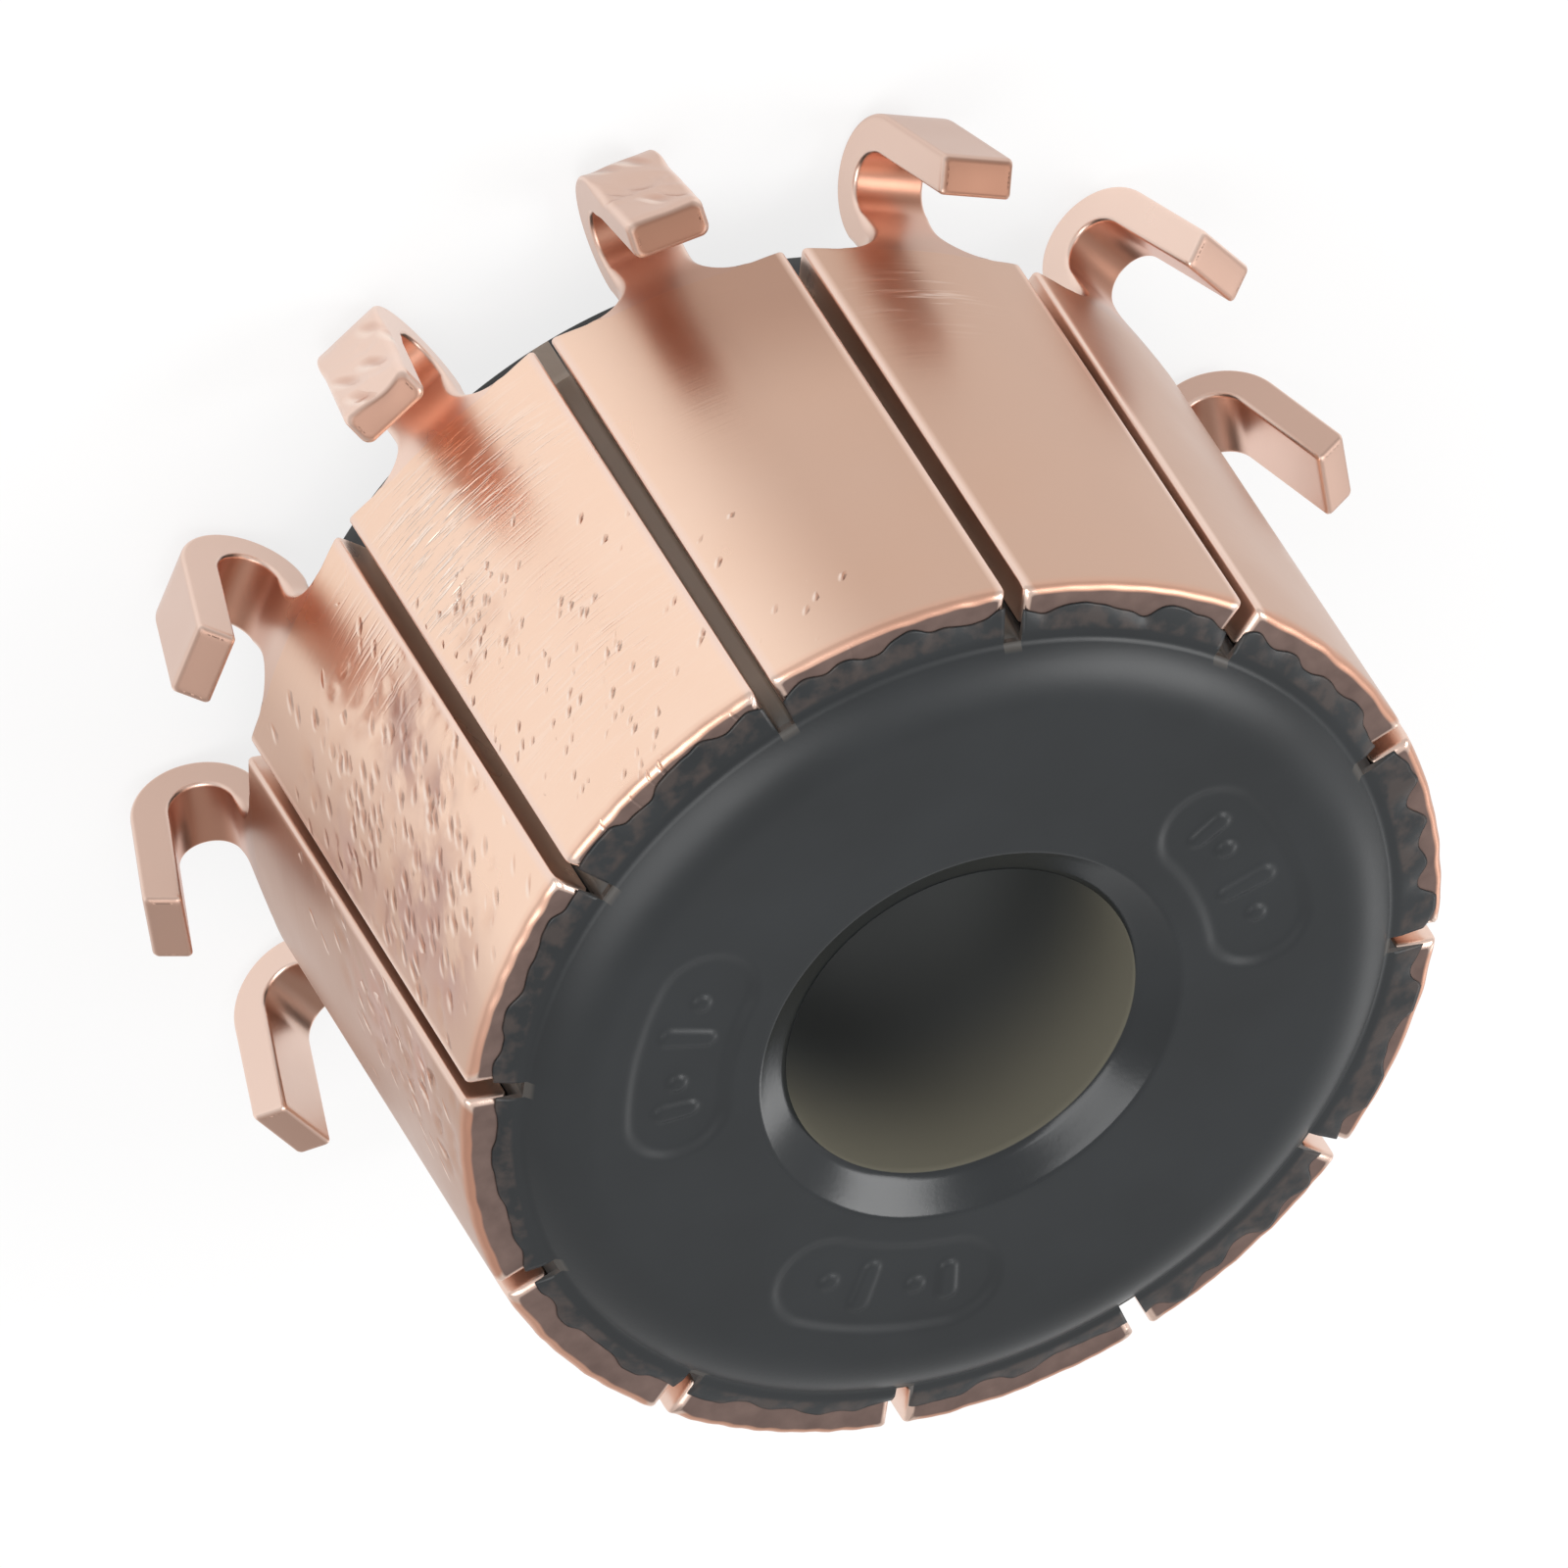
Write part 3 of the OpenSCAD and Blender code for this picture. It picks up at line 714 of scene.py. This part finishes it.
BORE_R = 4.0
FLARE_R = 4.8
FLARE_DEPTH = 0.5
TOP_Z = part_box("body")[1].z / MM
LEDGE_H = 0.15
LEDGE_Z = RIM_Z + LEDGE_H
LEDGE_W = 0.3
SHOULDER_W = 1.45
SHOULDER_R = SEAT_R - LEDGE_W
FLAT_R = SHOULDER_R - SHOULDER_W
COLLAR_R = 7.5
COLLAR_FILLET = 0.6
REAR_CHAMFER = 0.3
SLOT_UNDERCUT = 0.25
SLOT_FLOOR_R = SEAT_R - SLOT_UNDERCUT
STEP_INSET = 0.1
STEP_R = SLOT_FLOOR_R - STEP_INSET
STEP_H = 1.4
STEP_Z = REAR_Z - STEP_H
MOULD_ROUND = 0.06
# Mean width of the flash on each bar's end, from the first bar on, and its least and greatest width
FLASH_W = np.array([0.3, 0.3, 0.3, 0.36, 0.6, 0.72, 0.6, 0.4, 0.42, 0.48, 0.6, 0.44])
FLASH_LEAST = 0.05
FLASH_MOST = 0.82
# Share of the sawn colour, partly the opened filler and partly painted light on the slot floors: along the
# bars, behind them, and at the slots' front ends
SAWN_ALONG = 1.0
SAWN_BEHIND = 0.75
SAWN_FRONT = 0.12
SAWN_FRONT_LEN = 0.5
PAD_ANGLES = np.radians([65, 194, 339])
PAD_HALF_SPAN = np.radians(13)
PAD_MID_R = 6.7
PAD_HALF_W = 1.1
PAD_DEPTH = 0.1
PAD_EDGE = 0.36
PAD_MARGIN = 0.2
# Raised marks in a pad: place along it and half length
MARKS = ((-1.35, 0.0), (-0.45, 0.45), (0.75, 0.0), (1.5, 0.3))
MARK_HALF_W = 0.2
MARK_EDGE = 0.16
MARK_H = 0.07


def line(start, end, count):
    """Even points from start to end, without the end."""
    share = np.linspace(0, 1, count, endpoint=False)[:, None]
    return np.array(start) + share * (np.array(end) - np.array(start))


def arc(centre, radius, start, end, count):
    """Even points on an arc between two angles in degrees, without the end."""
    angle = np.radians(np.linspace(start, end, count, endpoint=False))
    return np.array(centre) + radius * np.stack([np.cos(angle), np.sin(angle)], axis=-1)


def moulding_profile():
    """Half section of the moulding as points (radius, height), round from the bore's rear mouth.
    Gives the points, each one's share of flash width, and its share of reamed and polished finish."""
    drop = TOP_Z - LEDGE_Z
    shoulder_radius = (SHOULDER_W ** 2 + drop ** 2) / (2 * drop)
    shoulder_turn = np.degrees(np.arcsin(SHOULDER_W / shoulder_radius))
    collar_top = STEP_Z - COLLAR_FILLET
    flare_low = TOP_Z - FLARE_DEPTH
    stretches = [
        line((BORE_R, REAR_CHAMFER), (BORE_R + REAR_CHAMFER, 0), 2),
        line((BORE_R + REAR_CHAMFER, 0), (COLLAR_R - REAR_CHAMFER, 0), 5),
        line((COLLAR_R - REAR_CHAMFER, 0), (COLLAR_R, REAR_CHAMFER), 2),
        line((COLLAR_R, REAR_CHAMFER), (COLLAR_R, collar_top), 4),
        arc((COLLAR_R + COLLAR_FILLET, collar_top), COLLAR_FILLET, 180, 90, 6),
        line((COLLAR_R + COLLAR_FILLET, STEP_Z), (STEP_R - MOULD_ROUND, STEP_Z), 4),
        arc((STEP_R - MOULD_ROUND, STEP_Z + MOULD_ROUND), MOULD_ROUND, -90, 0, 3),
        line((STEP_R, STEP_Z + MOULD_ROUND), (STEP_R, REAR_Z), 4),
        line((STEP_R, REAR_Z), (SEAT_R, REAR_Z), 3),
        line((SEAT_R, REAR_Z), (SEAT_R, RIM_Z), 8),
    ]
    # The film of flash, from under its lip up to the ledge: height over the bars' ends, and share of width
    film_rise = np.array([0.004, 0.004, 0.02, 0.04, 0.09, 0.14])
    film_share = np.array([0, 0.97, 1.0, 0.9, 0.45, 0.1])
    film = np.stack([np.full(len(film_rise), SEAT_R), RIM_Z + film_rise], axis=-1)
    film[-1, 0] -= 0.03
    pad_out = PAD_MID_R + PAD_HALF_W + PAD_MARGIN
    pad_in = PAD_MID_R - PAD_HALF_W - PAD_MARGIN
    front = [
        line((SEAT_R - 0.08, LEDGE_Z), (SHOULDER_R + 0.04, LEDGE_Z), 4),
        arc((FLAT_R, TOP_Z - shoulder_radius), shoulder_radius, 90 - shoulder_turn, 90, 16),
        line((FLAT_R, TOP_Z), (pad_out, TOP_Z), 4),
        line((pad_out, TOP_Z), (pad_in, TOP_Z), 40),
        line((pad_in, TOP_Z), (FLARE_R + 0.05, TOP_Z), 5),
    ]
    # The flare has a small round at both its edges
    flare = np.concatenate([
        [(FLARE_R + 0.05, TOP_Z), (FLARE_R + 0.015, TOP_Z - 0.008), (FLARE_R - 0.02, TOP_Z - 0.028)],
        line((FLARE_R - 0.06, TOP_Z - 0.055), (BORE_R + 0.03, flare_low + 0.02), 5),
        [(BORE_R + 0.01, flare_low)],
    ])
    bore = np.concatenate([
        [(BORE_R, flare_low - 0.03)],
        line((BORE_R, flare_low - 0.2), (BORE_R, REAR_CHAMFER), 10),
    ])
    before = sum(map(len, stretches))
    profile = np.concatenate(stretches + [film] + front + [flare, bore])
    flash = np.zeros(len(profile))
    flash[before:before + len(film)] = film_share
    reamed = np.zeros(len(profile))
    reamed[-len(bore):] = 1
    polished = np.zeros(len(profile))
    polished[-len(bore) - len(flare):-len(bore)] = 1
    return profile, flash, reamed, polished


def moulding_columns():
    """Angles round the shaft, close together, with a pair of columns at both walls of every slot.
    Also says which columns stand in a slot."""
    wall = np.arcsin(SLOT_W / 2 / SEAT_R)
    floor = np.array([-0.985, -0.5, 0, 0.5, 0.985]) * wall
    land = np.linspace(wall, PITCH - wall, 57)
    one = np.concatenate([floor, land])
    in_slot = np.concatenate([np.ones(len(floor), bool), np.zeros(len(land), bool)])
    angles = (one + (np.arange(BARS)[:, None] + 0.5) * PITCH).ravel()
    return angles, np.tile(in_slot, BARS)


def pad_relief(radius, angle):
    """Height of the sunk pads below the face: a flat floor inside a band with round ends and soft edges.
    The raised marks on it are plain dots and dashes in a row along the band."""
    height = np.zeros_like(radius)
    for middle in PAD_ANGLES:
        off = (angle - middle + np.pi) % (2 * np.pi) - np.pi
        past = np.clip(np.abs(off) - PAD_HALF_SPAN, 0, None)
        out = np.hypot(radius * np.cos(past) - PAD_MID_R, radius * np.sin(past)) - PAD_HALF_W
        sunk = smooth(0.5 - out / PAD_EDGE)
        along = off * PAD_MID_R
        across = radius - PAD_MID_R
        raised = np.zeros_like(radius)
        for at, half_length in MARKS:
            away = np.hypot(along - at, np.clip(np.abs(across) - half_length, 0, None)) - MARK_HALF_W
            raised = np.maximum(raised, smooth(0.5 - away / MARK_EDGE))
        height += sunk * (MARK_H * raised - PAD_DEPTH)
    return height


def moulding_grid():
    """Points of the moulding as profile row by column, and the finish of each.
    In a slot the radius stops at the saw cut's floor, and the flash film runs out by an uneven width."""
    profile, flash, reamed, polished = moulding_profile()
    angles, in_slot = moulding_columns()
    along = angles * SEAT_R
    number = np.round(angles / PITCH).astype(int) % BARS
    # Bays about 2 mm long, with tears of about 1 mm and 0.4 mm in their edges
    uneven = 0.3 * np.tanh(2.5 * ripple(along, 2.0, 5))
    uneven = uneven + 0.14 * ripple(along, 1.0, 8)
    uneven = uneven + 0.04 * ripple(along, 0.4, 9)
    flash_w = np.clip(FLASH_W[number] * (1 + uneven), FLASH_LEAST, FLASH_MOST)
    radius = profile[:, :1] + flash[:, None] * flash_w
    height = profile[:, 1:] + np.zeros_like(radius)
    radius = np.where(in_slot, np.minimum(radius, SLOT_FLOOR_R), radius)
    # Slot floors share a paler colour: the opened filler, and painted light that lifts their shade
    cut_share = np.where(height < RIM_Z - SAWN_FRONT_LEN, SAWN_ALONG, SAWN_FRONT)
    cut_share = np.where(height < REAR_Z, SAWN_BEHIND, cut_share)
    sawn = cut_share * (in_slot & (radius > STEP_R - MOULD_ROUND / 2) & (height > STEP_Z))
    nearly = 1e-6
    on_face = (profile[:, 1:] > TOP_Z - nearly) & (radius < FLAT_R)
    height = height + np.where(on_face, pad_relief(radius, angles[None, :] + np.zeros_like(radius)), 0)
    points = np.stack([radius * np.cos(angles), radius * np.sin(angles), height], axis=-1)
    spread = np.ones_like(radius)
    return points, {"reamed": reamed[:, None] * spread, "polished": polished[:, None] * spread,
                    "sawn": sawn, "film": (flash[:, None] > 0) * spread}


def ring_faces(rows, columns):
    """Quads of a grid that closes on itself both ways."""
    row = np.arange(rows)[:, None] * columns
    next_row = np.roll(row, -1, axis=0)
    column = np.arange(columns)
    next_column = np.roll(column, -1)
    quads = [row + column, row + next_column, next_row + next_column, next_row + column]
    return np.stack(quads, axis=-1).reshape(-1, 4)


# Flow clouds, filler grains and thin places in the film, counted to the millimetre
FLOWS_PER_MM = 0.3
GRAINS_PER_MM = 9.0
THIN_PER_MM = 2.2
# Heights in the bore where its colour changes: the deep end, lifted with painted light, the middle, darkened
# with painted shade, and the olive tan mouth
DEEP_Z = 7.0
MIDDLE_Z = 10.5
MOUTH_Z = 15.2


def moulded_phenolic():
    """Black phenolic with wood-flour filler, as it leaves a polished mould: near black with a satin skin.
    Cutting opens the filler, so the reamed bore is olive tan at its mouth and the sawn slots are grey brown,
    made paler with painted light; down the bore, painted shade darkens the middle and painted light lifts
    the deep end."""
    material = bpy.data.materials.new("moulded phenolic")
    material.use_nodes = True
    tree = material.node_tree
    shader = tree.nodes["Principled BSDF"]
    place = node(tree, "TexCoord").outputs["Object"]
    mm = node(tree, "VectorMath", {0: place, 3: 1 / MM}, operation="SCALE").outputs[0]
    reamed, polished, sawn, film = [
        node(tree, "Attribute", attribute_name=label).outputs["Fac"]
        for label in ("reamed", "polished", "sawn", "film")]
    flow = node(tree, "TexNoise", {0: mm, "Scale": FLOWS_PER_MM, "Detail": 4.0}).outputs[0]
    grain = node(tree, "TexNoise", {0: mm, "Scale": GRAINS_PER_MM, "Detail": 2.0}).outputs[0]

    skin = node(tree, "Mix", {0: flow, 6: linear("#131618"), 7: linear("#212528")},
                data_type="RGBA").outputs[2]
    thin = node(tree, "TexNoise", {0: mm, "Scale": THIN_PER_MM, "Detail": 3.0}).outputs[0]
    thin = node(tree, "MapRange", {0: thin, 1: 0.42, 2: 0.62}).outputs[0]
    thin = node(tree, "Math", {0: thin, 1: film}, operation="MULTIPLY").outputs[0]
    skin = node(tree, "Mix", {0: thin, 6: skin, 7: linear("#3A322F")}, data_type="RGBA").outputs[2]
    height = node(tree, "SeparateXYZ", {0: mm}).outputs[2]
    # Down the bore: painted light at the deep end, painted shade in the middle, olive tan at the mouth
    middle = node(tree, "MapRange", {0: height, 1: DEEP_Z, 2: MIDDLE_Z},
                  interpolation_type="SMOOTHSTEP").outputs[0]
    mouth = node(tree, "MapRange", {0: height, 1: MIDDLE_Z, 2: MOUTH_Z},
                 interpolation_type="SMOOTHSTEP").outputs[0]
    bore_tan_and_shade = node(tree, "Mix", {0: middle, 6: linear("#6C6F6F"), 7: linear("#4C4E4D")},
                  data_type="RGBA").outputs[2]
    bore_tan_and_shade = node(tree, "Mix", {0: mouth, 6: bore_tan_and_shade, 7: linear("#807C6E")}, data_type="RGBA").outputs[2]
    bored = node(tree, "Mix", {0: reamed, 6: skin, 7: bore_tan_and_shade}, data_type="RGBA").outputs[2]
    # Slot floors paler: the opened filler, and painted light against their shade
    colour = node(tree, "Mix", {0: sawn, 6: bored, 7: linear("#A89A8C")}, data_type="RGBA").outputs[2]
    tree.links.new(colour, shader.inputs["Base Color"])
    rough = node(tree, "MapRange", {0: flow, 1: 0.3, 2: 0.7, 3: 0.36, 4: 0.44}).outputs[0]
    rough = node(tree, "Math", {0: polished, 1: -0.2, 2: rough}, operation="MULTIPLY_ADD").outputs[0]
    tree.links.new(rough, shader.inputs["Roughness"])
    relief = node(tree, "Bump", {"Strength": 0.15, "Distance": 0.01 * MM, "Height": grain}).outputs[0]
    tree.links.new(relief, shader.inputs["Normal"])
    return material


body_points, body_finish = moulding_grid()
moulding = add_piece("phenolic_moulding", body_points, ring_faces(*body_points.shape[:2]), body_finish)
moulding.data.materials.append(moulded_phenolic())
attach(moulding, "root")
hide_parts("body")


# Studio
# A pale floor that the commutator stands on, white surroundings and three soft lamps.
# The camera has a long lens, as the photograph has, and is rolled so that the part seems to lie on its side.

FLOOR_HALF = 1.0
FLOOR_GLOW = 0.8
SURROUND_LEVEL = 0.7


def pale_floor():
    """Matt white board, lit from below as a light table is: to the eye and in the metal it is nearly plain
    white, with a faint shadow. The light from below falls on nothing else."""
    material = bpy.data.materials.new("matt white board")
    material.use_nodes = True
    tree = material.node_tree
    shader = tree.nodes["Principled BSDF"]
    shader.inputs["Base Color"].default_value = linear("#F8F8F8")
    shader.inputs["Roughness"].default_value = 0.9
    shader.inputs["Specular IOR Level"].default_value = 0.0
    glow = node(tree, "Emission", {"Color": linear("#FFFFFF"), "Strength": 1.0}).outputs[0]
    ray = node(tree, "LightPath").outputs
    seen = node(tree, "Math", {0: ray["Is Camera Ray"], 1: ray["Is Glossy Ray"]},
                operation="MAXIMUM").outputs[0]
    seen = node(tree, "Math", {0: seen, 1: ray["Is Transmission Ray"]}, operation="MAXIMUM").outputs[0]
    share = node(tree, "Math", {0: seen, 1: FLOOR_GLOW}, operation="MULTIPLY").outputs[0]
    mixed = node(tree, "MixShader", {0: share, 1: shader.outputs[0], 2: glow}).outputs[0]
    tree.links.new(mixed, tree.nodes["Material Output"].inputs["Surface"])
    return material


corners = [(-FLOOR_HALF, -FLOOR_HALF, 0), (FLOOR_HALF, -FLOOR_HALF, 0),
           (FLOOR_HALF, FLOOR_HALF, 0), (-FLOOR_HALF, FLOOR_HALF, 0)]
floor_mesh = bpy.data.meshes.new("floor")
floor_mesh.from_pydata(corners, [], [(0, 1, 2, 3)])
floor = bpy.data.objects.new("floor", floor_mesh)
bpy.context.scene.collection.objects.link(floor)
floor_mesh.materials.append(pale_floor())

world = bpy.data.worlds.new("white surroundings")
world.use_nodes = True
world.node_tree.nodes["Background"].inputs["Color"].default_value = (1, 1, 1, 1)
world.node_tree.nodes["Background"].inputs["Strength"].default_value = SURROUND_LEVEL
bpy.context.scene.world = world


def soft_lamp(name, azimuth, elevation, distance, size, level):
    """A square lamp that looks at the part, with its angles in degrees and its distance and size in metres.
    Its level is the brightness that it gives a white board that faces it."""
    lamp = bpy.data.lights.new(name, "AREA")
    lamp.size = size
    lamp.energy = level * np.pi ** 2 * distance ** 2
    around, above = np.radians([azimuth, elevation])
    back = Vector((np.cos(around) * np.cos(above), np.sin(around) * np.cos(above), np.sin(above)))
    holder = bpy.data.objects.new(name, lamp)
    turn = back.to_track_quat("Z", "Y").to_matrix().to_4x4()
    holder.matrix_world = Matrix.Translation(back * distance) @ turn
    bpy.context.scene.collection.objects.link(holder)


soft_lamp("left lamp", azimuth=-36, elevation=58, distance=0.25, size=0.16, level=0.38)
soft_lamp("right lamp", azimuth=186, elevation=48, distance=0.25, size=0.12, level=0.36)
soft_lamp("low lamp", azimuth=134, elevation=16, distance=0.25, size=0.07, level=0.05)

# The picture's frame is 1600 pixels wide, and the front rim's centre lies off its middle
SENSOR_W = 36
FRAME_PX = 1600
PX_PER_MM = 48.21
LENS_PX = 38455
RIM_CENTRE_PX = (975.2, 1033.8)
VIEW_AZIMUTH = np.radians(-73.55)
VIEW_ELEVATION = np.radians(45.25)
VIEW_ROLL = np.radians(-147.22)

back = Vector((np.cos(VIEW_AZIMUTH) * np.cos(VIEW_ELEVATION), np.sin(VIEW_AZIMUTH) * np.cos(VIEW_ELEVATION),
               np.sin(VIEW_ELEVATION)))
level_up = (Vector((0, 0, 1)) - back * back.z).normalized()
level_right = level_up.cross(back)
up = level_up * np.cos(VIEW_ROLL) + level_right * np.sin(VIEW_ROLL)
right = up.cross(back)
off_right, off_down = (np.array(RIM_CENTRE_PX) - FRAME_PX / 2) / PX_PER_MM * MM
distance = LENS_PX / PX_PER_MM * MM
lens = bpy.data.cameras.new("long lens")
lens.sensor_width = SENSOR_W
lens.lens = LENS_PX / FRAME_PX * SENSOR_W
lens.clip_end = 10
camera = bpy.data.objects.new("camera", lens)
camera_place = Vector((0, 0, RIM_Z * MM)) - right * off_right + up * off_down + back * distance
camera.matrix_world = Matrix.Translation(camera_place) @ Matrix((right, up, back)).transposed().to_4x4()
bpy.context.scene.collection.objects.link(camera)
bpy.context.scene.camera = camera
bpy.context.scene.view_settings.view_transform = "Standard"
